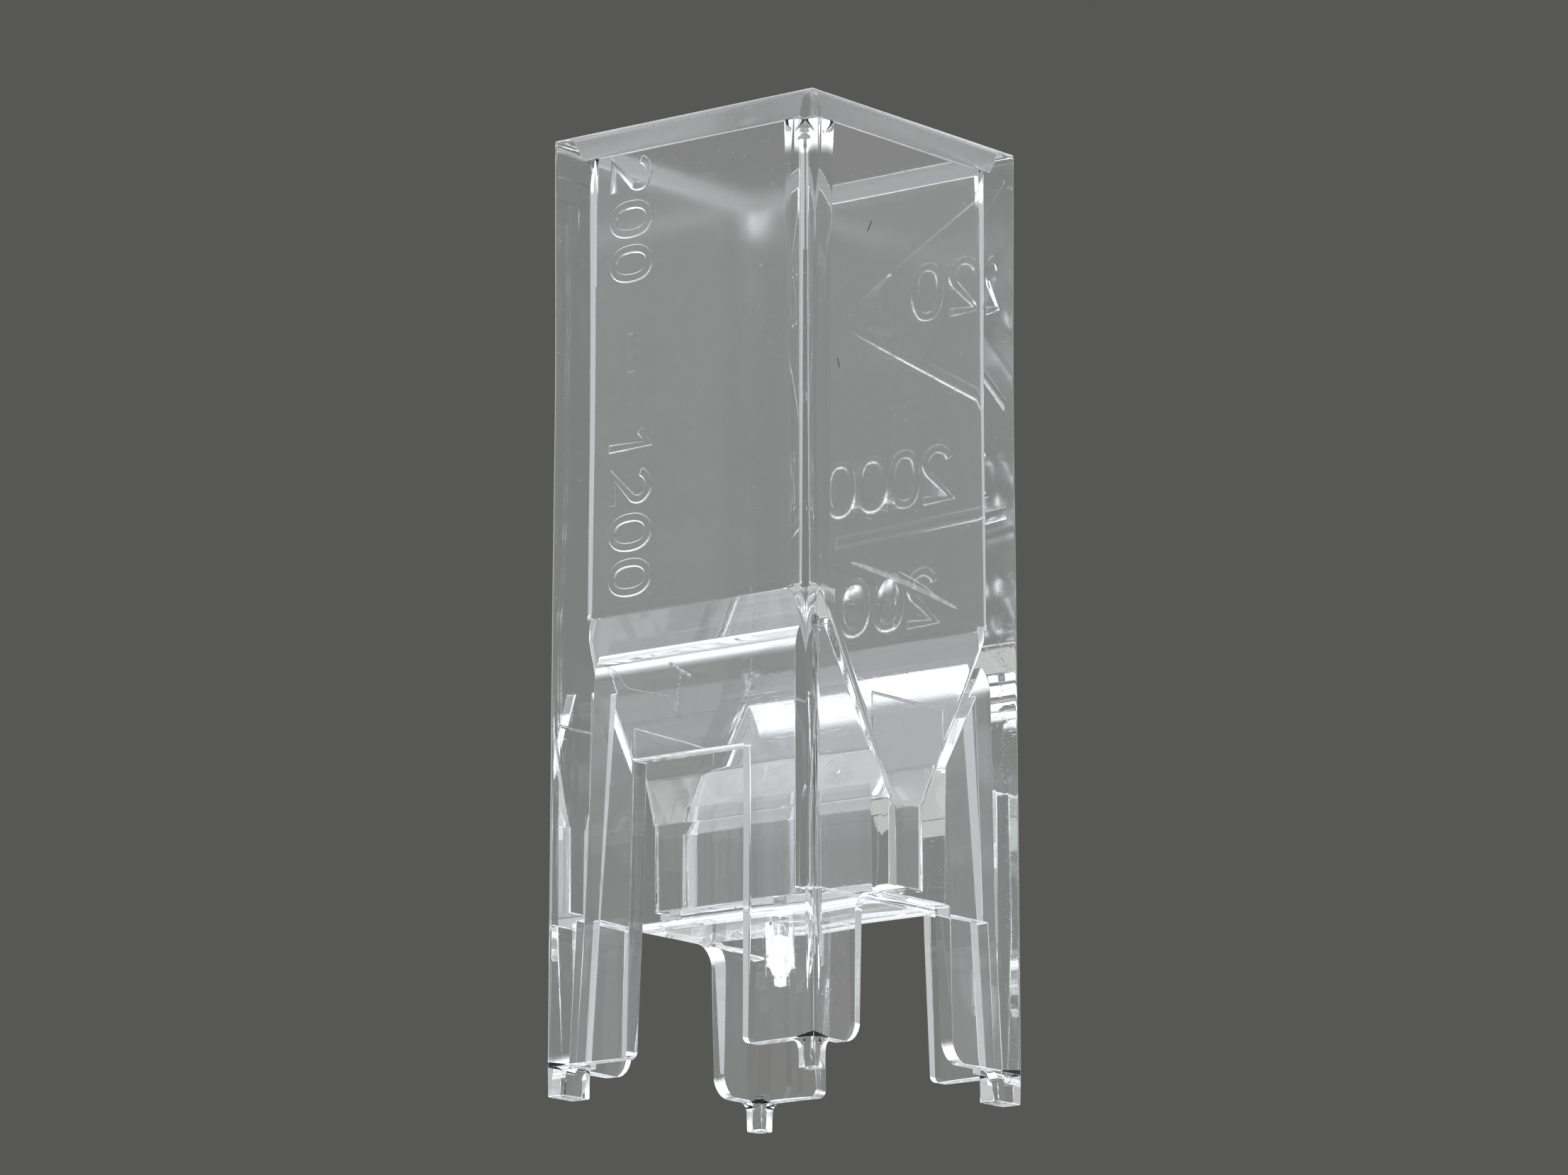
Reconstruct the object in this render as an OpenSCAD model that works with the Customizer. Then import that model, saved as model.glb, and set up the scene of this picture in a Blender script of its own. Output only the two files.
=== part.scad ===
// Disposable two-path cuvette, moulded in one piece from clear plastic.
// Millimetres, +Z up. The origin is under the middle of the square, on the plane of the four feet.
// X runs along the long light path and Y along the short one.
// The lower half repeats after half a turn about Z, so two opposite corners stand on wide legs and
// the other two on narrow ones.

/* [Outside] */
// Outside width of the square, on both sides
cell_w = 12.5; // [11.9:0.1:15]
// Height from the feet to the rim
cell_h = 36; // [30:0.5:50]
// Radius of the four upright outside corners
corner_r = 0.35; // [0.15:0.05:0.6]
// Radius of the outside edge of the rim
rim_r = 0.3; // [0.1:0.05:0.4]

/* [Upper well] */
// Wall thickness at the rim
rim_wall = 1.1; // [0.9:0.05:1.15]
// How much thicker each wall is at the shoulder than at the rim, so that the core draws out
well_draft = 0.1; // [0.05:0.01:0.15]
// Radius of the upright corners inside the well
well_corner_r = 0.85; // [0.55:0.05:1]
// Height of the flared mouth inside the rim
mouth_h = 0.9; // [0.4:0.1:1.5]
// How far the flare opens the mouth on each side
mouth_flare = 0.4; // [0.1:0.05:0.5]

/* [Measuring chamber] */
// Long light path, between the inner faces of the two end windows
long_path = 10; // [8:0.1:10.1]
// Short light path, between the inner faces of the two side windows
short_path = 2; // [1.4:0.1:2.6]
// Height of the light beam above the feet
beam_z = 8.5; // [8:0.1:11]
// Depth of liquid below the middle of the beam
beam_depth = 1.2; // [0.8:0.1:1.6]
// Radius of the corners inside the chamber and the funnel
path_corner_r = 0.3; // [0.1:0.05:0.5]
// Thickness of the chamber's floor
floor_t = 0.7; // [0.5:0.05:1]
// Thickness of the side windows at their top edge
side_window_t = 1.25; // [1.1:0.05:1.4]
// How much thinner the side windows are at the bottom
side_window_draft = 0.1; // [0:0.05:0.2]
// Radius of the two long edges under the chamber
keel_r = 0.25; // [0.1:0.05:0.6]
// Height of the top edge of the slots above the beam
slot_rise = 3.5; // [3:0.1:3.8]
// Width of the polished pad inside each end window
end_pad_w = 4.2; // [3:0.1:5]
// Height of that pad's top edge above the beam
end_pad_rise = 5.7; // [4:0.1:6]

/* [Funnel] */
// Height above the beam where the straight chamber ends and the slope begins
knee_rise = 2; // [1.8:0.1:2.5]
// Angle of the slope from upright
slope_a = 29.5; // [25:0.5:35]
// Thickness of the funnel's wall where the roof of the open space meets it, measured level
funnel_t = 0.55; // [0.5:0.05:1]
// Height above the beam where the outside of the slope begins
pocket_knee_rise = 3.6; // [3.3:0.1:3.8]
// Height above the beam where the roof of the open space starts to curve in from the outer wall
roof_rise = 6.7; // [6:0.1:7]
// Radius of that curve
roof_r = 1.3; // [0.8:0.1:1.5]

/* [Legs] */
// Thickness of the outer walls and leg plates on the slotted sides
side_plate_t = 0.8; // [0.6:0.05:1]
// Thickness of the leg plates on the window ends
end_plate_t = 0.7; // [0.6:0.05:1]
// Thickness of the end walls beside the chamber
end_wall_t = 1.2; // [1.15:0.05:1.3]
// How much thinner each leg plate is at its bottom edge
plate_draft = 0.2; // [0:0.05:0.3]
// Width of a wide leg's plates at the bottom, along X and Y
wide_leg = [3.9, 4.35]; // [3.4:0.05:4.6]
// Width of a narrow leg's plates at the bottom, along X and Y
narrow_leg = [3.25, 2.65]; // [2.4:0.05:3.4]
// How much each slot narrows up to its top, on its wide leg's side
slot_draft = 0.25; // [0:0.05:0.4]
// How much each end arch narrows up to its top, on both sides
arch_draft = 0.14; // [0:0.02:0.2]
// Height of the end arches above the underside of the chamber
arch_rise = 0.2; // [0.1:0.05:0.4]
// Radius of an end arch's upper corner beside the narrow leg
arch_r = 0.9; // [0.4:0.1:1.2]
// Radius of the lower corners of the plates on the window ends
end_plate_r = 0.9; // [0.4:0.1:1.2]
// Radius of the lower corners of the plates on the slotted sides
side_plate_r = 0.3; // [0.1:0.05:0.5]
// Size of the thick post in a wide leg's corner, along X and Y, at the bottom
post_foot = [1.25, 1.5]; // [1:0.05:1.6]
// Size of that post at the roof of the open space
post_head = [2, 2.2]; // [1.7:0.05:2.4]

/* [Feet] */
// Height of the feet
foot_h = 1.1; // [0.6:0.1:1.5]
// Size of a wide leg's foot along X and Y
wide_foot = [0.85, 1.4]; // [0.7:0.05:1.5]
// Size of a narrow leg's foot along X and Y
narrow_foot = [0.7, 0.7]; // [0.6:0.05:1]
// How far the feet stand in from the outside faces
foot_inset = 0.1; // [0.05:0.01:0.2]
// Radius of the fillets between a foot and the plates
foot_fillet = 0.4; // [0.1:0.05:0.5]

/* [Gate] */
// Diameter of the stub left by the runner, under the middle of the floor
gate_d = 1.06; // [0.8:0.02:1.4]
// Length of the stub
gate_l = 1.55; // [0.8:0.05:2]
// Length of the broken end below it
gate_break_l = 0.7; // [0.3:0.05:1]

/* [Hidden] */
// Steps in a rounded corner of a profile
steps = 6;
// Distance that carries a cut past the face it opens on
past = 1;
// Distance that sinks a joined piece into its neighbour
sunk = 0.2;
$fn = 32;

half_w = cell_w / 2;
// Half widths of the well at the rim and at the shoulder
well_top = half_w - rim_wall;
well_low = well_top - well_draft;
// Heights of the chamber, its windows and the open spaces beside it
floor_z = beam_z - beam_depth;
keel_z = floor_z - floor_t;
knee_z = beam_z + knee_rise;
slot_top_z = beam_z + slot_rise;
pocket_knee_z = beam_z + pocket_knee_rise;
pad_top_z = beam_z + end_pad_rise;
arch_z = keel_z + arch_rise;
// Half widths of the chamber, inside and outside
path_x = long_path / 2;
path_y = short_path / 2;
window_y = path_y + side_window_t;
keel_y = window_y - side_window_draft;
pocket_x = half_w - end_wall_t;
side_y = half_w - side_plate_t;
// The slope leaves the chamber at the knee and reaches the well at the shoulder
shoulder_z = knee_z + (well_low - path_y) / tan(slope_a);
// The roof of the open space curves in from the outer wall until it meets the funnel's outside
roof_z = beam_z + roof_rise;
roof_y = min(side_y - sunk, path_y + (roof_z - knee_z) * tan(slope_a) + funnel_t);
roof_lean = (roof_y - window_y) / (roof_z - pocket_knee_z);
// Centre of the curve, and how far the slope stands from it at that height
roof_mid = side_y - roof_r;
roof_gap = roof_y - roof_mid;
// Height of the meeting point above the centre, and the turn of the curve up to it
roof_h = (-roof_lean * roof_gap + sqrt(roof_r ^ 2 * (1 + roof_lean ^ 2) - roof_gap ^ 2)) / (1 + roof_lean ^ 2);
roof_turn = atan2(roof_h, roof_gap + roof_lean * roof_h);
pocket_z = roof_z + roof_h;

// Unit vector along v
function along(v) = v / norm(v);
// Points of the arc of radius r that rounds corner b of the outline a, b, c
function arc_at(a, b, c, r) =
    let (
        u = along(a - b),
        v = along(c - b),
        half = acos(u * v) / 2,
        middle = b + along(u + v) * r / sin(half),
        first = b + u * r / tan(half) - middle,
        last = b + v * r / tan(half) - middle,
        start = atan2(first.y, first.x),
        turn = atan2(first.x * last.y - first.y * last.x, first * last)
    )
    [for (i = [0:steps]) middle + r * [cos(start + turn * i / steps), sin(start + turn * i / steps)]];
// Outline whose corners are [x, y, radius], with each corner rounded by its own radius
function rounded(corners) =
    let (n = len(corners), p = [for (c = corners) [c.x, c.y]])
    [for (i = [0:n - 1]) each corners[i].z > 0
        ? arc_at(p[(i + n - 1) % n], p[i], p[(i + 1) % n], corners[i].z)
        : [p[i]]];
// Outline that has the given corners on both sides of the upright axis
function both_sides(corners) =
    rounded(concat(corners, [for (i = [len(corners) - 1:-1:0]) [-corners[i].x, corners[i].y, corners[i].z]]));

// Prism of an outline in Y and Z, carried along X
module prism_x(length) {
    rotate([90, 0, 90]) linear_extrude(length, center = true) children();
}

// Prism of an outline in X and Z, carried along Y
module prism_y(length) {
    rotate([90, 0, 0]) linear_extrude(length, center = true) children();
}

// Rectangle with rounded corners, from its half widths
module round_rect(half, r) {
    square([2 * half.x, 2 * (half.y - r)], center = true);
    square([2 * (half.x - r), 2 * half.y], center = true);
    for (x = [-1, 1], y = [-1, 1]) translate([x * (half.x - r), y * (half.y - r)]) circle(r);
}

// Outside of the cell, from the bottom of the leg plates to the rounded rim
module block() {
    outline = both_sides([[half_w, cell_h, rim_r], [half_w, foot_h, 0]]);
    intersection() {
        translate([0, 0, foot_h]) linear_extrude(cell_h - foot_h) round_rect([half_w, half_w], corner_r);
        prism_x(cell_w + past) polygon(outline);
        prism_y(cell_w + past) polygon(outline);
    }
}

// Flared mouth of the well
module mouth() {
    flare = both_sides([
        [well_top + mouth_flare * (1 + past / mouth_h), cell_h + past, 0],
        [well_top, cell_h - mouth_h, 0]
    ]);
    intersection() {
        prism_x(cell_w + 2 * past) polygon(flare);
        prism_y(cell_w + 2 * past) polygon(flare);
    }
}

// Square well, a little wider at the rim
module well() {
    sides = both_sides([[well_top, cell_h, 0], [well_low, shoulder_z, 0]]);
    intersection() {
        prism_x(cell_w) polygon(sides);
        prism_y(cell_w) polygon(sides);
        translate([0, 0, shoulder_z]) linear_extrude(cell_h - shoulder_z) round_rect([well_top, well_top], well_corner_r);
    }
}

// Shaft with rounded corners that leans outwards at the slope's angle as it rises from the knee
module leaning_shaft() {
    translate([0, path_y - cell_w, knee_z]) multmatrix([[1, 0, 0, 0], [0, 1, tan(slope_a), 0], [0, 0, 1, 0]])
        linear_extrude(shoulder_z + sunk - knee_z) round_rect([well_low, cell_w], path_corner_r);
}

// Funnel between the chamber and the well, which narrows only along Y and keeps inside the well's corners
module funnel() {
    intersection() {
        leaning_shaft();
        mirror([0, 1, 0]) leaning_shaft();
        translate([0, 0, knee_z]) linear_extrude(cell_h - knee_z) round_rect([well_low, well_low], well_corner_r);
    }
}

// Slim chamber that both light paths cross
module chamber() {
    translate([0, 0, floor_z]) linear_extrude(knee_z + sunk - floor_z) round_rect([path_x, path_y], path_corner_r);
}

// Polished pad that brings each end window to the exact light path
module end_pads() {
    reach = half_w - end_wall_t / 2;
    for (side = [-1, 1]) translate([side * (path_x + reach) / 2, 0, (floor_z + pad_top_z) / 2])
        cube([reach - path_x, end_pad_w, pad_top_z - floor_z], center = true);
}

// Open space between a side window and the outer wall, closed above by a curved roof that meets the funnel
module pocket() {
    prism_x(2 * pocket_x) polygon(rounded([
        [-side_y, keel_z - past, 0],
        for (i = [0:steps]) let (turn = roof_turn * i / steps)
            [-roof_mid - roof_r * cos(turn), roof_z + roof_r * sin(turn), 0],
        [-window_y, pocket_knee_z, 0.4],
        [-keel_y, keel_z, keel_r],
        [0, keel_z, 0],
        [0, keel_z - past, 0]
    ]));
}

// Space between the four legs, below the chamber, wider at the bottom
module leg_space() {
    widening = plate_draft * keel_z / (keel_z - foot_h);
    end_x = half_w - end_plate_t;
    intersection() {
        prism_x(cell_w) polygon(both_sides([[side_y, keel_z, 0], [side_y + widening, 0, 0]]));
        prism_y(cell_w) polygon(both_sides([[end_x, keel_z, 0], [end_x + widening, 0, 0]]));
    }
}

// Thick post that fills a wide leg's corner and slims towards the foot
module post() {
    intersection() {
        prism_y(2 * cell_w) polygon([
            [half_w, foot_h], [half_w, pocket_z + sunk],
            [half_w - post_head.x, pocket_z + sunk], [half_w - post_foot.x, foot_h]
        ]);
        prism_x(2 * cell_w) polygon([
            [half_w, foot_h], [half_w, pocket_z + sunk],
            [half_w - post_head.y, pocket_z + sunk], [half_w - post_foot.y, foot_h]
        ]);
    }
}

// Slot in a side wall, beside the side window and down between two legs
module side_slot() {
    wide_x = -half_w + wide_leg.x;
    narrow_x = half_w - narrow_leg.x;
    translate([0, -half_w, 0]) prism_y(3 * side_plate_t) polygon(rounded([
        [wide_x + slot_draft, slot_top_z, 0],
        [wide_x, foot_h, side_plate_r],
        [wide_x - 1.5 * side_plate_r, foot_h, 0],
        [wide_x, foot_h - past, 0],
        [narrow_x, foot_h - past, 0],
        [narrow_x + 1.5 * side_plate_r, foot_h, 0],
        [narrow_x, foot_h, side_plate_r],
        [narrow_x, slot_top_z, 0]
    ]));
}

// Arch in an end wall, under the end window and between two legs
module end_arch() {
    narrow_y = -half_w + narrow_leg.y;
    wide_y = half_w - wide_leg.y;
    translate([half_w, 0, 0]) prism_x(2 * end_plate_t) polygon(rounded([
        [narrow_y + arch_draft, arch_z, arch_r],
        [narrow_y, foot_h, end_plate_r],
        [narrow_y - 1.5 * end_plate_r, foot_h, 0],
        [narrow_y, foot_h - past, 0],
        [wide_y, foot_h - past, 0],
        [wide_y + 1.5 * end_plate_r, foot_h, 0],
        [wide_y, foot_h, end_plate_r],
        [wide_y - arch_draft, arch_z, 0]
    ]));
}

// Strip with a hollow quarter-round face, under the plane z = 0 and against the plane x = 0
module fillet(width) {
    rotate([90, 0, 0]) linear_extrude(width) difference() {
        translate([-sunk, -foot_fillet]) square([foot_fillet + sunk, foot_fillet + sunk]);
        translate([foot_fillet, -foot_fillet]) circle(foot_fillet);
    }
}

// Foot under the corner where both plates of a leg meet, drawn for the corner at -X, -Y
module foot(size) {
    outer = foot_inset - half_w;
    translate([outer, outer, 0]) {
        cube([size.x, size.y, foot_h + sunk]);
        translate([size.x, side_plate_t - plate_draft - foot_inset, foot_h])
            fillet(side_plate_t - plate_draft - foot_inset);
        translate([0, size.y, foot_h]) rotate([0, 0, 90]) fillet(end_plate_t - plate_draft - foot_inset);
    }
}

// Stub where the runner was snapped off under the floor
module gate() {
    translate([0, 0, keel_z - gate_l]) cylinder(h = gate_l + sunk, d = gate_d);
    translate([0, 0, keel_z - gate_l - gate_break_l / 2])
        cylinder(h = gate_break_l / 2, d1 = gate_d / 2, d2 = gate_d * 0.8);
    translate([0, 0, keel_z - gate_l - gate_break_l])
        cylinder(h = gate_break_l / 2 + sunk, d = gate_d * 0.4);
}

// The whole cuvette, one moulded piece
module cuvette() color("whitesmoke", 0.45) {
    difference() {
        block();
        mouth();
        difference() {
            union() {
                well();
                funnel();
                chamber();
            }
            end_pads();
        }
        difference() {
            union() {
                leg_space();
                for (turn = [0, 180]) rotate([0, 0, turn]) pocket();
            }
            for (turn = [0, 180]) rotate([0, 0, turn]) post();
        }
        for (turn = [0, 180]) rotate([0, 0, turn]) {
            side_slot();
            end_arch();
        }
    }
    for (turn = [0, 180]) rotate([0, 0, turn]) {
        foot(wide_foot);
        mirror([1, 0, 0]) foot(narrow_foot);
    }
    gate();
}

cuvette();
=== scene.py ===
import math

import bmesh
import bpy
import numpy as np
from mathutils import Matrix, Vector
from mathutils.bvhtree import BVHTree


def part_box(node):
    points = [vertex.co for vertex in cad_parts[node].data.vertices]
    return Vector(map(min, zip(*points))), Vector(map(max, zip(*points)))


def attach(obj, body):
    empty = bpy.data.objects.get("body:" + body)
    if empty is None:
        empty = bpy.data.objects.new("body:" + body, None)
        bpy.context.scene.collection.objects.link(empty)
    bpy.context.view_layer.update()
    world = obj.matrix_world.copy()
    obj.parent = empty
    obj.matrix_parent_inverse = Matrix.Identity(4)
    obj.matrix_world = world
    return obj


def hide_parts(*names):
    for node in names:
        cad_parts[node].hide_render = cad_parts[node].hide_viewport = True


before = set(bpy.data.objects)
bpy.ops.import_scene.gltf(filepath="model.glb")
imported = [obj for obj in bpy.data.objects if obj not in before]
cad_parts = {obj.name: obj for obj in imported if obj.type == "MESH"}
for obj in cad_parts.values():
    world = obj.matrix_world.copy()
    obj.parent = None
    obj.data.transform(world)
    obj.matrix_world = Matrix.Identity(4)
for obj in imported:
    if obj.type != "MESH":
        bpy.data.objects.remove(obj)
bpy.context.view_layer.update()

# ---------------------------------------------------------------------------------------------
# The moulded body: one injection moulding in clear polystyrene, a square well above a slim
# chamber on four legs. The mould leaves its edges a hair round, and its walls are cut across
# into steps here, so that they can bend when the plastic shrinks.

mm = 0.001
half_side, _, cell_height = np.array(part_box("cuvette")[1]) / mm    # half the width, and the top
shoulder = 17.3                        # height where the well's square part ends
edge_round, rim_round = 0.06, 0.14     # softening of the moulded edges, and of the open rim
wall_foot, wall_top = shoulder + 0.6, cell_height - 0.5    # ends of the well's plain wall
wall_steps = 11                        # levels at which that wall may bend
sharp_turn = math.radians(25)          # edges that turn more than this are moulded edges
shortest = 0.3                         # a moulded edge shorter than this is part of a curve


def whole_faces(node):
    """A bmesh of the CAD node in millimetres: loose triangles joined, then flat faces made whole.
    A face that runs round an opening stays cut along the two middle planes."""
    work = bmesh.new()
    work.from_mesh(node.data)
    bmesh.ops.scale(work, vec=(1 / mm,) * 3, verts=work.verts)
    bmesh.ops.remove_doubles(work, verts=work.verts, dist=0.002)
    for across in ((1, 0, 0), (0, 1, 0)):
        cut = bmesh.ops.bisect_plane(
            work, geom=work.verts[:] + work.edges[:] + work.faces[:],
            plane_co=(0, 0, 0), plane_no=across,
        )["geom_cut"]
        for part in cut:
            if isinstance(part, bmesh.types.BMEdge):
                part.seam = True
    bmesh.ops.dissolve_limit(
        work, angle_limit=math.radians(0.5), verts=work.verts, edges=work.edges,
        delimit={"SEAM"},
    )
    return work


work = whole_faces(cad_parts["cuvette"])
rim_edges = [edge for edge in work.edges
             if edge.calc_face_angle(0) > sharp_turn
             and min(corner.co.z for corner in edge.verts) > cell_height - 0.01]
bmesh.ops.bevel(
    work, geom=rim_edges, offset=rim_round, segments=3, profile=0.5, affect="EDGES",
    clamp_overlap=False,
)
moulded_edges = [edge for edge in work.edges
                 if edge.calc_face_angle(0) > sharp_turn and edge.calc_length() > shortest
                 and min(corner.co.z for corner in edge.verts) < wall_top]
bmesh.ops.bevel(
    work, geom=moulded_edges, offset=edge_round, segments=2, profile=0.5, affect="EDGES",
    clamp_overlap=False,
)
for height in np.linspace(wall_foot, wall_top, wall_steps):
    bmesh.ops.bisect_plane(
        work, geom=work.verts[:] + work.edges[:] + work.faces[:],
        plane_co=(0, 0, height), plane_no=(0, 0, 1),
    )
plain_body = bpy.data.meshes.new("plain_body")
work.to_mesh(plain_body)
work.free()
body = bpy.data.objects.new("moulded_body", plain_body)
bpy.context.scene.collection.objects.link(body)

# ---------------------------------------------------------------------------------------------
# Raised figures and scale lines: cut into the mould, so they stand proud of the two slotted
# sides and are one piece with the wall. Their section is a low flat-topped ridge.

stroke_width, stroke_height = 0.34, 0.048
stroke_flank, stroke_root = 0.05, 0.12     # width of its slope, and how deep it is rooted
line_width, line_flank = 0.5, 0.08
longest_mitre = 1.4                    # how far a sharp bend may reach, in half-widths


def arc(mid, radii, start, end, steps=14):
    """Points of an oval arc: mid plus radii times (cos, sin) of an angle from start to end."""
    turn = np.radians(np.linspace(start, end, steps))
    return np.stack([mid[0] + radii[0] * np.cos(turn), mid[1] + radii[1] * np.sin(turn)], 1)


def ridge(path, closed, place, width=stroke_width, flank=stroke_flank):
    """A ridge carried along a flat path. Each path point is moved sideways along the mitre of its
    two neighbouring directions by the section's half-width, and outward by the section's height;
    place turns (across, up, outward) arrays into points of the model. Open ends get a cap."""
    path = np.asarray(path, float)
    ahead, behind = np.roll(path, -1, 0) - path, path - np.roll(path, 1, 0)
    if not closed:
        ahead[-1], behind[0] = behind[-1], ahead[0]
    ahead /= np.linalg.norm(ahead, axis=1)[:, None]
    behind /= np.linalg.norm(behind, axis=1)[:, None]
    mitre = np.stack([-(ahead + behind)[:, 1], (ahead + behind)[:, 0]], 1)
    mitre /= (mitre * mitre).sum(1)[:, None] / 2
    mitre *= np.minimum(1, longest_mitre / np.linalg.norm(mitre, axis=1))[:, None]
    half, crest = width / 2, width / 2 - flank
    section = np.array([
        (-half, -stroke_root), (half, -stroke_root), (half, 0),
        (crest, stroke_height), (-crest, stroke_height), (-half, 0),
    ])
    flat = path[:, None, :] + mitre[:, None, :] * section[None, :, :1]
    count, sides = len(path), len(section)
    points = place(flat[..., 0], flat[..., 1], np.broadcast_to(section[:, 1], (count, sides)))
    along = np.arange(count if closed else count - 1)[:, None]
    side = np.arange(sides)[None, :]
    here, there = along * sides, (along + 1) % count * sides
    quads = np.stack([here + side, there + side, there + (side + 1) % sides,
                      here + (side + 1) % sides], -1).reshape(-1, 4)
    if not closed:
        cap = np.array([(0, 1, 2, 5), (5, 2, 3, 4)])
        quads = np.vstack([quads, cap, cap[:, ::-1] + (count - 1) * sides])
    return points.reshape(-1, 3), quads


def figure(sign):
    """The strokes of one figure, each (path, closed), in a box 0.7 wide and 1 high. The nought
    is an oval of powers of sine and cosine, and the two is an arc with a foot."""
    if sign == "0":
        turn = np.radians(np.arange(0, 360, 15))
        ring = np.stack([0.35 + 0.27 * np.sign(np.cos(turn)) * np.abs(np.cos(turn)) ** 0.8,
                         0.5 + 0.42 * np.sign(np.sin(turn)) * np.abs(np.sin(turn)) ** 0.9], 1)
        return [(ring, True)]
    if sign == "1":
        return [([(0.16, 0.72), (0.42, 0.92), (0.42, 0)], False)]
    if sign == "2":
        bowl = arc((0.34, 0.68), (0.25, 0.24), 165, -35)
        return [(np.vstack([bowl, [(0.08, 0.08), (0.64, 0.08)]]), False)]
    return [([(0.0, 0.5), (0.7, 0.5)], False)] if sign == "-" else []


def write(text, size, pitch, start, face):
    """Every stroke of a text: figures stand pitch apart along the face's reading direction."""
    return [
        ridge([(start[0] + pitch * place + size * x, start[1] + size * y) for x, y in path],
              closed, face)
        for place, sign in enumerate(text) for path, closed in figure(sign)
    ]


def near_face(across, up, out):
    """On the near slotted side the text reads downwards, its top towards +X."""
    return np.stack([up, np.full_like(up, -half_side) - out, -across], -1)


def far_face(across, up, out):
    """On the far slotted side the text reads level, seen from outside."""
    return np.stack([-across, np.full_like(up, half_side) + out, up], -1)


def gather(parts):
    """Several (points, faces) as one: each part's faces count on from the points before it."""
    points, faces = zip(*parts)
    starts = np.cumsum([0] + [len(part) for part in points[:-1]])
    return np.vstack(points), np.vstack([part + start for part, start in zip(faces, starts)])


def outward_mesh(name, points, faces):
    """A mesh of these points and faces, its faces turned outward."""
    mesh = bpy.data.meshes.new(name)
    mesh.from_pydata(points.tolist(), [], faces)
    work = bmesh.new()
    work.from_mesh(mesh)
    bmesh.ops.recalc_face_normals(work, faces=work.faces)
    work.to_mesh(mesh)
    work.free()
    return mesh


scale_lines = ([(-4.9, 35.0), (2.95, 30.8), (-4.9, 26.4)], [(-4.9, 22.3), (2.8, 22.0)])
strokes = (
    write("200 - 1200", size=2.05, pitch=1.69, start=(-34.75, -3.38), face=near_face)
    + write("20", size=2.3, pitch=1.75, start=(-4.3, 30.0), face=far_face)
    + write("2000", size=2.3, pitch=1.6, start=(-3.0, 22.9), face=far_face)
    + write("200", size=2.3, pitch=1.6, start=(-2.2, 18.3), face=far_face)
    + [ridge(line, False, far_face, line_width, line_flank) for line in scale_lines]
)
stroke_points, stroke_faces = gather(strokes)
raised = bpy.data.objects.new(
    "raised_figures", outward_mesh("raised_figures", stroke_points, stroke_faces.tolist())
)
bpy.context.scene.collection.objects.link(raised)
join = body.modifiers.new("one_piece", "BOOLEAN")
join.operation, join.solver, join.object = "UNION", "EXACT", raised
joined = bpy.data.meshes.new_from_object(
    body.evaluated_get(bpy.context.evaluated_depsgraph_get())
)
body.modifiers.clear()
bpy.data.objects.remove(raised)
body.data = joined
work = bmesh.new()
work.from_mesh(joined)
bmesh.ops.holes_fill(work, edges=[edge for edge in work.edges if edge.is_boundary], sides=0)
work.to_mesh(joined)
work.free()

# ---------------------------------------------------------------------------------------------
# Shrinkage and finish of the moulding: the thick plastic shrank as it cooled, so the well's walls
# stand in. It is clear where the mould is polished, satin on the slotted walls' inside and in the
# mouth, where the core is only brushed, and torn where the gate broke.

shrink, shrink_to = 0.05, 18.0         # how far the walls stand in from this height up
bow = 0.035                            # how much further they do halfway


def rise(values, low, high):
    """Smooth step from 0 at low to 1 at high: s squared times (3 - 2 s), s the share of the way."""
    share = np.clip((values - low) / (high - low), 0, 1)
    return share * share * (3 - 2 * share)


def stands_in(height):
    """How far the wall stands in: shrink times the smooth step from the shoulder to shrink_to,
    plus bow times the squared sine of pi times the share of the way on to wall_top."""
    share = np.clip((height - shrink_to) / (wall_top - shrink_to), 0, 1)
    return shrink * rise(height, shoulder, shrink_to) + bow * np.sin(math.pi * share) ** 2


corners = np.empty(len(joined.vertices) * 3, np.float32)
joined.vertices.foreach_get("co", corners)
corners = corners.reshape(-1, 3)
corners[:, :2] *= (1 - stands_in(corners[:, 2]) / half_side)[:, None]
joined.vertices.foreach_set("co", (corners * mm).ravel())
joined.update()
joined.polygons.foreach_set("use_smooth", [True] * len(joined.polygons))
joined.set_sharp_from_angle(angle=sharp_turn)
even = body.modifiers.new("even_normals", "WEIGHTED_NORMAL")
even.mode, even.weight, even.keep_sharp = "FACE_AREA", 100, True


def add_node(tree, kind, **values):
    """A new node with its settings and unlinked input values given by name."""
    node = tree.nodes.new(kind)
    for name, value in values.items():
        if hasattr(node, name):
            setattr(node, name, value)
        else:
            node.inputs[name.replace("_", " ")].default_value = value
    return node


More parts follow.
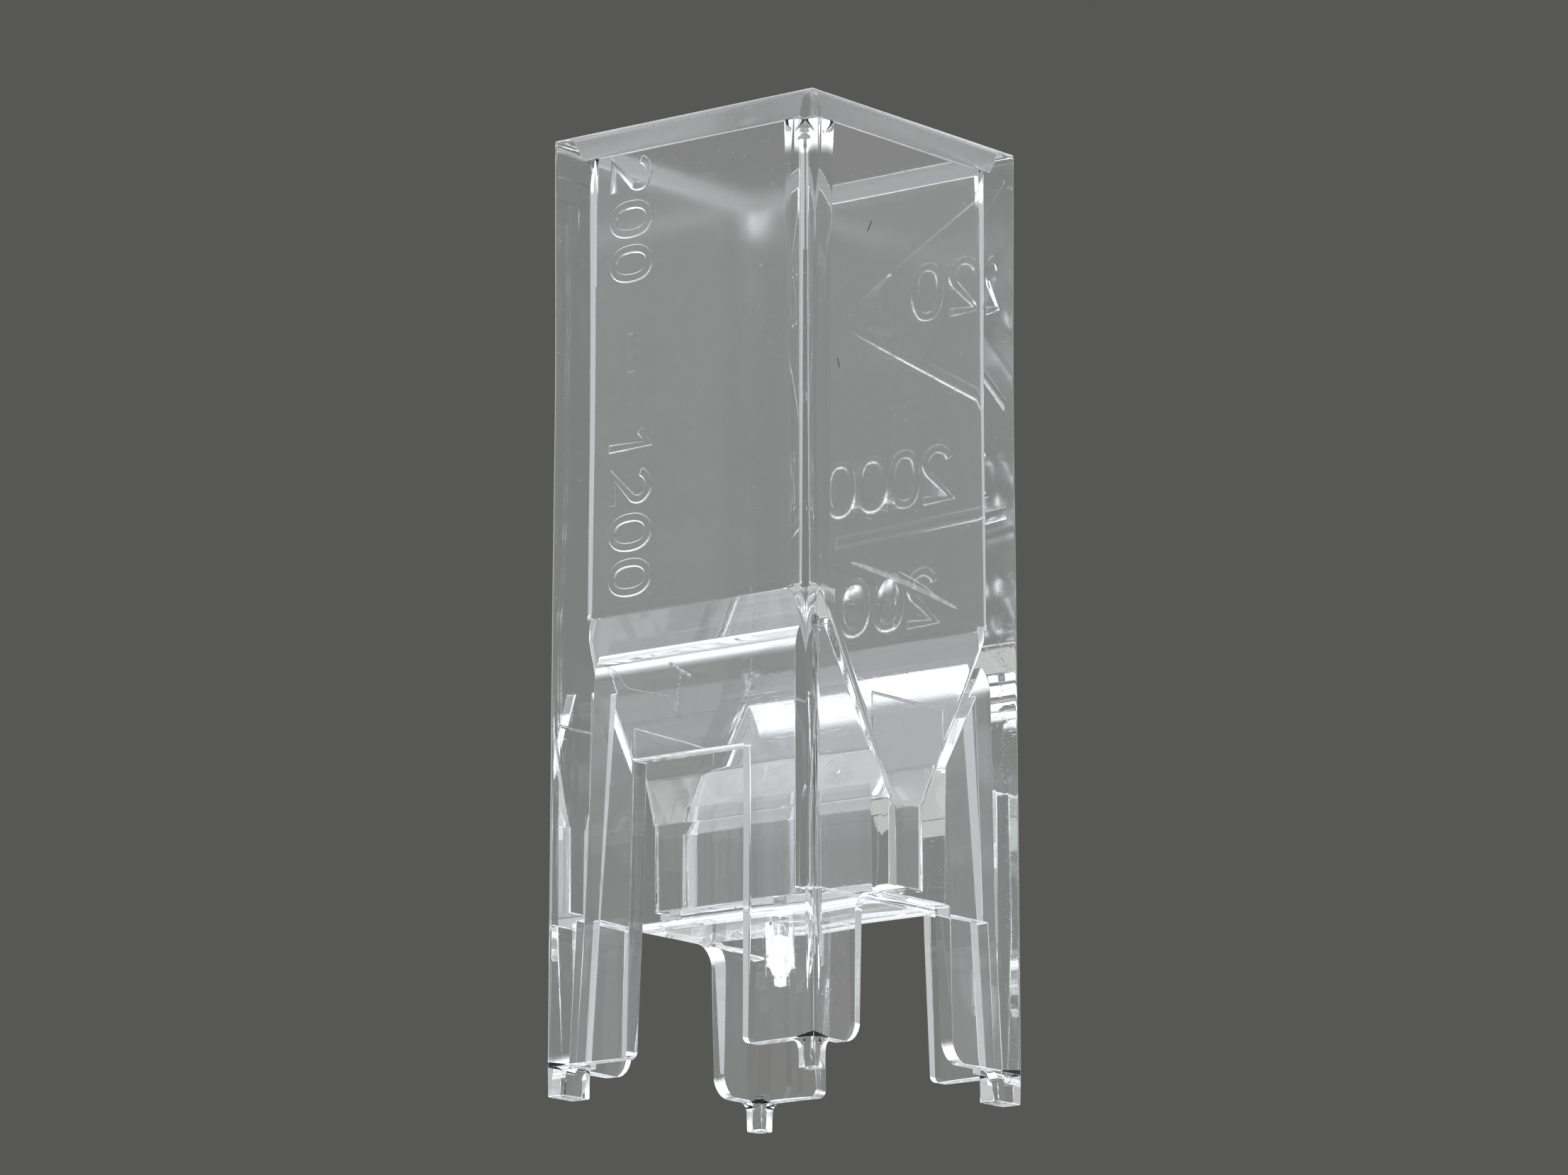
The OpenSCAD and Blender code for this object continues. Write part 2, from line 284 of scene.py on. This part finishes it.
def make_wear():
    """Node group: hairline scratches in two directions and faint flow waves of the moulding.
    It gives out a roughness, Polish plus Spread on the scratches, and a height that Depth
    scales."""
    group = bpy.data.node_groups.new("handling_wear", "ShaderNodeTree")
    for name, usual, most in (("Polish", 0.02, 1.0), ("Spread", 0.03, 1.0), ("Depth", 0.5, 20.0)):
        socket = group.interface.new_socket(name, in_out="INPUT", socket_type="NodeSocketFloat")
        socket.default_value, socket.max_value = usual, most
    for name in ("Roughness", "Height"):
        group.interface.new_socket(name, in_out="OUTPUT", socket_type="NodeSocketFloat")
    given = add_node(group, "NodeGroupInput")
    result = add_node(group, "NodeGroupOutput")
    place = add_node(group, "ShaderNodeTexCoord")
    lines = []
    for turn, stretch in ((0.5, (900, 900, 16000)), (-0.9, (14000, 14000, 1100))):
        lay = add_node(group, "ShaderNodeMapping", Rotation=(turn, turn, 0), Scale=stretch)
        hair = add_node(group, "ShaderNodeTexNoise", Scale=1.0, Detail=2.0, Roughness=0.4)
        pick = add_node(group, "ShaderNodeMapRange", From_Min=0.68, From_Max=0.78)
        group.links.new(place.outputs["Object"], lay.inputs["Vector"])
        group.links.new(lay.outputs[0], hair.inputs["Vector"])
        group.links.new(hair.outputs["Fac"], pick.inputs["Value"])
        lines.append(pick.outputs["Result"])
    hairs = add_node(group, "ShaderNodeMath", operation="MAXIMUM")
    group.links.new(lines[0], hairs.inputs[0])
    group.links.new(lines[1], hairs.inputs[1])
    spread = add_node(group, "ShaderNodeMath", operation="MULTIPLY_ADD")
    group.links.new(hairs.outputs[0], spread.inputs[0])
    group.links.new(given.outputs["Spread"], spread.inputs[1])
    group.links.new(given.outputs["Polish"], spread.inputs[2])
    group.links.new(spread.outputs[0], result.inputs["Roughness"])
    wave = add_node(group, "ShaderNodeTexNoise", Scale=260.0, Detail=1.0)
    group.links.new(place.outputs["Object"], wave.inputs["Vector"])
    relief = add_node(group, "ShaderNodeMath", operation="SUBTRACT")
    group.links.new(wave.outputs["Fac"], relief.inputs[0])
    group.links.new(hairs.outputs[0], relief.inputs[1])
    deep = add_node(group, "ShaderNodeMath", operation="MULTIPLY")
    group.links.new(relief.outputs[0], deep.inputs[0])
    group.links.new(given.outputs["Depth"], deep.inputs[1])
    group.links.new(deep.outputs[0], result.inputs["Height"])
    return group


wear = make_wear()


def clear_plastic(name, tint, polish, spread, depth):
    """Clear polystyrene with the wear group's scratches in its roughness and its bumps."""
    material = bpy.data.materials.new(name)
    material.use_nodes = True
    tree = material.node_tree
    shader = tree.nodes["Principled BSDF"]
    shader.inputs["IOR"].default_value = 1.57
    shader.inputs["Transmission Weight"].default_value = 1.0
    marks = add_node(tree, "ShaderNodeGroup", node_tree=wear)
    marks.inputs["Polish"].default_value = polish
    marks.inputs["Spread"].default_value = spread
    marks.inputs["Depth"].default_value = depth
    tree.links.new(marks.outputs["Roughness"], shader.inputs["Roughness"])
    dent = add_node(tree, "ShaderNodeBump", Strength=1.0, Distance=0.000002)
    tree.links.new(marks.outputs["Height"], dent.inputs["Height"])
    tree.links.new(dent.outputs["Normal"], shader.inputs["Normal"])
    cloud = add_node(tree, "ShaderNodeTexNoise", Scale=180.0, Detail=3.0)
    place = add_node(tree, "ShaderNodeTexCoord")
    tree.links.new(place.outputs["Object"], cloud.inputs["Vector"])
    shade = add_node(tree, "ShaderNodeMix", data_type="RGBA")
    shade.inputs["A"].default_value = (*tint, 1)
    shade.inputs["B"].default_value = (1, 1, 1, 1)
    tree.links.new(cloud.outputs["Fac"], shade.inputs["Factor"])
    tree.links.new(shade.outputs["Result"], shader.inputs["Base Color"])
    return material


joined.materials.clear()
for finish in (
    clear_plastic("clear_polystyrene", (0.97, 0.98, 0.99), polish=0.02, spread=0.03, depth=0.4),
    clear_plastic("satin_polystyrene", (0.96, 0.97, 0.98), polish=0.17, spread=0.06, depth=0.6),
    clear_plastic("torn_polystyrene", (0.95, 0.95, 0.95), polish=0.5, spread=0.2, depth=12.0),
):
    joined.materials.append(finish)
inner_wall = 4.6                       # the core's two broad faces lie beyond this from the middle
mouth_side, mouth_height = 5.6, 0.95   # half width and height of the flared mouth
gate_side, gate_break = 0.5, (4.0, 4.45)    # where the broken end of the gate lies
normals, centres = (np.empty(len(joined.polygons) * 3, np.float32) for _ in range(2))
joined.polygons.foreach_get("normal", normals)
joined.polygons.foreach_get("center", centres)
normals, centres = normals.reshape(-1, 3), centres.reshape(-1, 3) / mm
inside = centres[:, 1] * normals[:, 1] < 0
reach, height = np.abs(centres[:, :2]).max(1), centres[:, 2]
satin = (np.abs(normals[:, 1]) > 0.9) & inside & (np.abs(centres[:, 1]) > inner_wall) \
    & (height > wall_foot) & (height < cell_height - 1)
mouth = (reach < mouth_side) & (height > cell_height - mouth_height)
torn = (reach < gate_side) & (height > gate_break[0]) & (height < gate_break[1])
joined.polygons.foreach_set("material_index", np.where(torn, 2, np.where(satin | mouth, 1, 0)))
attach(body, "root")
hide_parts("cuvette")
cycles = bpy.context.scene.cycles      # light crosses many faces before it leaves the plastic
cycles.max_bounces, cycles.glossy_bounces, cycles.transmission_bounces = 32, 24, 32

# ---------------------------------------------------------------------------------------------
# Dust: pale grains of lint and grit that cling to the outside, thickest in a rubbed streak low
# on the right-hand wall and along the rim. The plastic takes a static charge, which holds them.

chance = np.random.default_rng(7)
streak_foot, streak_top, streak_side, streak_lean = 5.2, 18.4, 5.45, 0.045
rim_foot, rim_top = 35.55, 35.9
farthest = 5.8                         # how far from a wall's middle a grain may lie
sunk = 0.4                             # a grain's middle stands this share of its size off the wall


def rough_paint(name, colour, dark, grain, solid):
    """A matt material whose colour runs from dark to colour, and whose cover runs from solid to
    2.2 times that, from spot to spot with a fine noise."""
    material = bpy.data.materials.new(name)
    material.use_nodes = True
    tree = material.node_tree
    shader = tree.nodes["Principled BSDF"]
    shader.inputs["Roughness"].default_value = 0.85
    place = add_node(tree, "ShaderNodeTexCoord")
    spots = add_node(tree, "ShaderNodeTexNoise", Scale=grain, Detail=3.0)
    tree.links.new(place.outputs["Object"], spots.inputs["Vector"])
    shade = add_node(tree, "ShaderNodeMix", data_type="RGBA")
    shade.inputs["A"].default_value = (*dark, 1)
    shade.inputs["B"].default_value = (*colour, 1)
    tree.links.new(spots.outputs["Fac"], shade.inputs["Factor"])
    tree.links.new(shade.outputs["Result"], shader.inputs["Base Color"])
    cover = add_node(tree, "ShaderNodeMapRange", From_Min=0.42, From_Max=0.6,
                     To_Min=solid, To_Max=min(1, solid * 2.2))
    tree.links.new(spots.outputs["Fac"], cover.inputs["Value"])
    tree.links.new(cover.outputs["Result"], shader.inputs["Alpha"])
    return material


def grains(places, sizes):
    """Octahedra: the six unit directions scaled by each grain's size and an uneven stretch."""
    ends = np.vstack([np.eye(3), -np.eye(3)])
    corners = ends[None] * sizes[:, None, None] * chance.uniform(0.5, 1.3, (len(places), 6, 1))
    points = (places[:, None, :] + corners).reshape(-1, 3)
    sides = np.array([(0, 1, 2), (1, 3, 2), (3, 4, 2), (4, 0, 2),
                      (1, 0, 5), (3, 1, 5), (4, 3, 5), (0, 4, 5)])
    faces = (sides[None] + 6 * np.arange(len(places))[:, None, None]).reshape(-1, 3)
    return points, faces


def loose_piece(name, points, faces, material):
    """A piece of its own from points in millimetres."""
    mesh = outward_mesh(name, points * mm, faces)
    mesh.materials.append(material)
    piece = bpy.data.objects.new(name, mesh)
    bpy.context.scene.collection.objects.link(piece)
    return piece


def on_wall(wall, across, stand, height):
    """Points on the near wall (across is +X) or the right-hand wall (across is +Y)."""
    pair = (across, -stand) if wall == "near" else (stand, across)
    return np.stack([*pair, height], 1)


def scatter(count, low, high, spread, size):
    """Heights spread evenly from low to high, places across in a bell of the given spread, and
    sizes in a lopsided bell, most of them near the given size."""
    height = chance.uniform(low, high, count)
    across = np.clip(chance.normal(0.0, spread, count), -farthest, farthest)
    sizes = size * chance.lognormal(0, 0.45, count).clip(0.4, 2.2)
    return height, across, sizes


clinging = []
for wall in ("near", "right"):
    height, across, sizes = scatter(150, 18.0, 35.2, spread=4.5, size=0.026)
    stand = half_side - stands_in(height) + sunk * sizes
    clinging.append((on_wall(wall, across, stand, height), sizes))
height, across, sizes = scatter(420, streak_foot, streak_top, spread=0.16, size=0.018)
across = streak_side - streak_lean * (height - streak_foot) + across
stand = half_side - stands_in(height) + sunk * sizes
clinging.append((on_wall("right", across, stand, height), sizes))
for wall in ("near", "right"):
    height, across, sizes = scatter(90, rim_foot, rim_top, spread=3.4, size=0.022)
    stand = half_side - 0.10 - 0.6 * (height - rim_foot)    # it follows the rim's rounding
    clinging.append((on_wall(wall, across, stand, height), sizes))
dust_points, dust_faces = grains(*(np.concatenate(part) for part in zip(*clinging)))
dust = loose_piece(
    "dust", dust_points, dust_faces.tolist(),
    rough_paint("pale_dust", (0.86, 0.86, 0.84), (0.55, 0.53, 0.5), grain=9000.0, solid=0.8),
)
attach(dust, "root")

# ---------------------------------------------------------------------------------------------
# Scuff and nicks: a broad pale scuff low on the right-hand wall, where it was rubbed against
# something, and two short dark nicks above it. They lie on the skin of the plastic.

skin_depth, skin_lift = 0.006, 0.004


def ribbon(start, end, width, rise_mid, place, steps=24):
    """A strip from start to end: width times the fourth root of 4 t (1 - t), so its ends are
    blunt points, lifted in the middle by rise_mid times 4 t (1 - t)."""
    t = np.linspace(0, 1, steps)[:, None]
    start, end = np.array(start, float), np.array(end, float)
    line = start + (end - start) * t
    line[:, 1] += rise_mid * (4 * t * (1 - t))[:, 0]
    along = (end - start) / np.linalg.norm(end - start)
    half = width / 2 * np.clip(4 * t * (1 - t), 0.02, 1) ** 0.25
    sideways = half * (-along[1], along[0])
    flat = np.stack([line - sideways, line + sideways], 1)
    count = 2 * steps
    points = np.concatenate(
        [place(flat, 0.0).reshape(-1, 3), place(flat, skin_depth).reshape(-1, 3)]
    )
    row = 2 * np.arange(steps - 1)
    low = np.stack([row, row + 2, row + 3, row + 1], 1)
    high = low[:, ::-1] + count
    near = np.stack([row, row + count, row + 2 + count, row + 2], 1)
    far = np.stack([row + 1, row + 3, row + 3 + count, row + 1 + count], 1)
    ends = np.array([
        [0, 1, 1 + count, count], [count - 2, 2 * count - 2, 2 * count - 1, count - 1],
    ])
    return points, np.concatenate([low, high, near, far, ends])


def right_wall(flat, out):
    """Turns (across, height) on the right-hand wall, and a lift off it, into model points."""
    stand = half_side - stands_in(flat[..., 1]) + skin_lift + out
    return np.stack([stand, flat[..., 0], flat[..., 1]], -1)


scuff_points, scuff_faces = gather([
    ribbon((-4.0, 18.62), (2.3, 17.95), 0.2, 0.12, right_wall),
    ribbon((-1.2, 18.75), (0.9, 18.30), 0.07, 0.05, right_wall),
])
scuff = loose_piece(
    "scuff", scuff_points, scuff_faces.tolist(),
    rough_paint("scuffed_plastic", (0.9, 0.9, 0.9), (0.8, 0.8, 0.8), grain=2600.0, solid=0.22),
)
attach(scuff, "root")
nick_points, nick_faces = gather([
    ribbon((-3.0, 31.15), (-2.72, 31.62), 0.035, 0.0, right_wall),
    ribbon((-4.75, 26.1), (-4.62, 25.75), 0.035, 0.0, right_wall),
])
nicks = loose_piece(
    "nicks", nick_points, nick_faces.tolist(),
    rough_paint("dark_nick", (0.05, 0.05, 0.05), (0.02, 0.02, 0.02), grain=2600.0, solid=0.9),
)
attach(nicks, "root")

# ---------------------------------------------------------------------------------------------
# Lint and flash: one thin textile fibre caught on the near side below the shoulder, and a crumb
# of plastic flash above it that was never trimmed off. Both only cling to the wall.

fibre_radius = 0.016


def fibre(points, radius, steps=72, sides=6):
    """A round thread along a smooth curve: each coordinate is the cubic Hermite of the points,
    and each ring is the curve point plus radius times (cos, sin) across its direction."""
    points = np.asarray(points, float)
    slopes = np.gradient(points, axis=0)
    where = np.linspace(0, len(points) - 1, steps)
    cell = np.minimum(where.astype(int), len(points) - 2)
    t = (where - cell)[:, None]
    a, b, da, db = points[cell], points[cell + 1], slopes[cell], slopes[cell + 1]
    line = (2 * t**3 - 3 * t**2 + 1) * a + (t**3 - 2 * t**2 + t) * da \
        + (3 * t**2 - 2 * t**3) * b + (t**3 - t**2) * db
    ahead = np.gradient(line, axis=0)
    ahead /= np.linalg.norm(ahead, axis=1)[:, None]
    side = np.cross(ahead, (0, 1, 0))
    side /= np.linalg.norm(side, axis=1)[:, None]
    up = np.cross(side, ahead)
    turn = 2 * math.pi * np.arange(sides) / sides
    rings = line[:, None] + radius * (np.cos(turn)[None, :, None] * side[:, None]
                                      + np.sin(turn)[None, :, None] * up[:, None])
    along, spot = np.arange(steps - 1)[:, None] * sides, np.arange(sides)[None]
    quads = np.stack([along + spot, along + (spot + 1) % sides,
                      along + sides + (spot + 1) % sides, along + sides + spot], -1)
    caps = [list(range(sides))[::-1], list(range((steps - 1) * sides, steps * sides))]
    return rings.reshape(-1, 3), quads.reshape(-1, 4).tolist() + caps


skin = BVHTree.FromObject(body, bpy.context.evaluated_depsgraph_get())
draught = Vector((-0.62, 0.784, 0.196)).normalized()    # inward past the near corner


def settle(across, height, lift):
    """Where a thing that a draught blows past this place first meets the wall, with a lift."""
    start = Vector((across, -half_side, height)) - 20 * draught
    meets, face_turn, _, _ = skin.ray_cast(start * mm, draught)
    return np.array(meets / mm + lift * face_turn)


lint_path = [settle(across, height, 0.03) for across, height in (
    (-3.58, 15.72), (-2.9, 15.35), (-2.4, 14.75), (-1.7, 14.5), (-0.9, 14.3), (-0.39, 14.15))]
lint = loose_piece(
    "lint", *fibre(lint_path, fibre_radius),
    rough_paint("lint_fibre", (0.85, 0.83, 0.8), (0.7, 0.68, 0.66), grain=5000.0, solid=0.8),
)
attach(lint, "root")

head, head_end, stalk, stalk_end = (settle(across, height, 0.09) for across, height in (
    (-0.3, 15.35), (0.61, 14.76), (0.2, 14.9), (-0.05, 13.45)))
share = chance.uniform(0, 1, (90, 1))
crumb_places = np.vstack([
    head + (head_end - head) * share[:60], stalk + (stalk_end - stalk) * share[60:],
])
crumb_points, crumb_faces = grains(crumb_places, chance.uniform(0.05, 0.1, len(crumb_places)))
crumb = loose_piece(
    "flash_crumb", crumb_points, crumb_faces.tolist(),
    rough_paint("flash_plastic", (0.92, 0.92, 0.92), (0.75, 0.75, 0.76), grain=7000.0, solid=0.6),
)
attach(crumb, "root")

# ---------------------------------------------------------------------------------------------
# Floor: a pale board that the feet stand on, its colour a painted pool of light: pale round the
# cuvette, painted greyer away from it as painted shade. Its underside is clear, so that the legs
# can be seen from a little below.

floor_half = 3                         # metres
floor_mesh = bpy.data.meshes.new("floor")
floor_mesh.from_pydata(
    [(x, y, 0) for x, y in ((-1, -1), (1, -1), (1, 1), (-1, 1))], [], [(0, 1, 2, 3)]
)
floor_mesh.transform(Matrix.Scale(floor_half, 4))
floor = bpy.data.objects.new("floor", floor_mesh)
bpy.context.scene.collection.objects.link(floor)
pale = bpy.data.materials.new("pale_board")
pale.use_nodes = True
tree = pale.node_tree
board = tree.nodes["Principled BSDF"]
board.inputs["Roughness"].default_value = 0.9
where = add_node(tree, "ShaderNodeTexCoord")
length = add_node(tree, "ShaderNodeVectorMath", operation="LENGTH")
tree.links.new(where.outputs["Object"], length.inputs[0])
# painted pool of light: the board is pale within 3 cm of the cuvette and painted greyer out to 9 cm
painted_light_pool_fade = add_node(tree, "ShaderNodeMapRange", interpolation_type="SMOOTHSTEP",
                From_Min=0.03, From_Max=0.09)
tree.links.new(length.outputs["Value"], painted_light_pool_fade.inputs["Value"])
# colours of the painted pool of light: pale lit board near the cuvette, painted shade farther out
painted_light_pool_tone = add_node(tree, "ShaderNodeMix", data_type="RGBA")
painted_light_pool_tone.inputs["A"].default_value = (0.62, 0.62, 0.6, 1)
painted_light_pool_tone.inputs["B"].default_value = (0.20, 0.20, 0.19, 1)
tree.links.new(painted_light_pool_fade.outputs["Result"], painted_light_pool_tone.inputs["Factor"])
tree.links.new(painted_light_pool_tone.outputs["Result"], board.inputs["Base Color"])
side = add_node(tree, "ShaderNodeNewGeometry")
ray = add_node(tree, "ShaderNodeLightPath")    # past the fade, the plastic mirrors only the room
far_mirrored = add_node(tree, "ShaderNodeMath", operation="MULTIPLY", use_clamp=True)
tree.links.new(ray.outputs["Glossy Depth"], far_mirrored.inputs[0])
tree.links.new(painted_light_pool_fade.outputs["Result"], far_mirrored.inputs[1])
through = add_node(tree, "ShaderNodeMath", operation="MAXIMUM")
tree.links.new(far_mirrored.outputs[0], through.inputs[0])
tree.links.new(side.outputs["Backfacing"], through.inputs[1])
clear = add_node(tree, "ShaderNodeBsdfTransparent")
mix = add_node(tree, "ShaderNodeMixShader")
tree.links.new(through.outputs[0], mix.inputs["Fac"])
tree.links.new(board.outputs[0], mix.inputs[1])
tree.links.new(clear.outputs[0], mix.inputs[2])
tree.links.new(mix.outputs[0], tree.nodes["Material Output"].inputs["Surface"])
floor_mesh.materials.append(pale)

# ---------------------------------------------------------------------------------------------
# Studio: a grey backdrop, a grey room with a bright ceiling that the plastic's faces mirror, and
# a soft lamp above. Light that the faces mirror more than once comes from the dim room.

ceiling_from, ceiling_to = 0.28, 0.5   # sine of the height angle where the ceiling begins
table_from, table_to = 0.05, -0.1      # and where the room's pale table does

world = bpy.data.worlds.new("studio")
bpy.context.scene.world = world
world.use_nodes = True
tree = world.node_tree
tree.nodes.clear()
out = add_node(tree, "ShaderNodeOutputWorld")
ray = add_node(tree, "ShaderNodeLightPath")


def level(value):
    """A plain light level."""
    node = add_node(tree, "ShaderNodeBackground")
    node.inputs["Color"].default_value = (*value, 1)
    return node.outputs[0]


def choose(share, below, above):
    """The level below where share is 0, and above where it is 1."""
    node = add_node(tree, "ShaderNodeMixShader")
    tree.links.new(share, node.inputs["Fac"])
    tree.links.new(below, node.inputs[1])
    tree.links.new(above, node.inputs[2])
    return node.outputs[0]


def over(value, limit):
    """1 where the value is over the limit, and 0 elsewhere."""
    node = add_node(tree, "ShaderNodeMath", operation="GREATER_THAN")
    node.inputs[1].default_value = limit
    tree.links.new(value, node.inputs[0])
    return node.outputs[0]


def step(value, begin, end):
    """A smooth step of the value from begin to end."""
    node = add_node(tree, "ShaderNodeMapRange", interpolation_type="SMOOTHSTEP",
                    From_Min=begin, From_Max=end)
    tree.links.new(value, node.inputs["Value"])
    return node.outputs["Result"]


where = add_node(tree, "ShaderNodeTexCoord")
upward = add_node(tree, "ShaderNodeVectorMath", operation="DOT_PRODUCT")
upward.inputs[1].default_value = (0, 0, 1)
tree.links.new(where.outputs["Generated"], upward.inputs[0])
ceiling = step(upward.outputs["Value"], ceiling_from, ceiling_to)
table = step(upward.outputs["Value"], table_from, table_to)
mirrored = ray.outputs["Glossy Depth"]
once = choose(table, level((0.55, 0.56, 0.57)), level((1.25, 1.27, 1.3)))
seen = choose(over(mirrored, 0.5), level((0.18, 0.183, 0.175)), once)
seen = choose(over(mirrored, 1.5), seen, level((0.19, 0.195, 0.19)))
seen = choose(ceiling, seen, level((1.4, 1.45, 1.5)))
seen = choose(ray.outputs["Is Diffuse Ray"], seen, level((0.75, 0.75, 0.75)))
seen = choose(ray.outputs["Is Camera Ray"], seen, level((0.0953, 0.0976, 0.0908)))
tree.links.new(seen, out.inputs["Surface"])

lamp = bpy.data.lights.new("overhead", "AREA")
lamp.size, lamp.energy = 0.12, 0.12    # metres, watts
overhead = bpy.data.objects.new("overhead", lamp)
bpy.context.scene.collection.objects.link(overhead)
overhead.location = (0, 0, 0.45)       # it shines straight down

# ---------------------------------------------------------------------------------------------
# Camera: a long lens a little below the floor's level, looking up at the near corner from
# about 29 cm away.

turn, tilt = math.radians(38.3323), math.radians(11.8444)
distance, drop, aside = 0.289314, 0.04151, -0.00004
lens = bpy.data.cameras.new("camera")
lens.sensor_width = 36
lens.lens = 183.548
lens.clip_start, lens.clip_end = 0.01, 20
camera = bpy.data.objects.new("camera", lens)
bpy.context.scene.collection.objects.link(camera)
camera.location = (
    distance * math.sin(turn) + aside * math.cos(turn),
    -distance * math.cos(turn) + aside * math.sin(turn),
    -drop,
)
camera.rotation_euler = (math.pi / 2 + tilt, 0, turn)
bpy.context.scene.camera = camera
bpy.context.scene.view_settings.view_transform = "Standard"
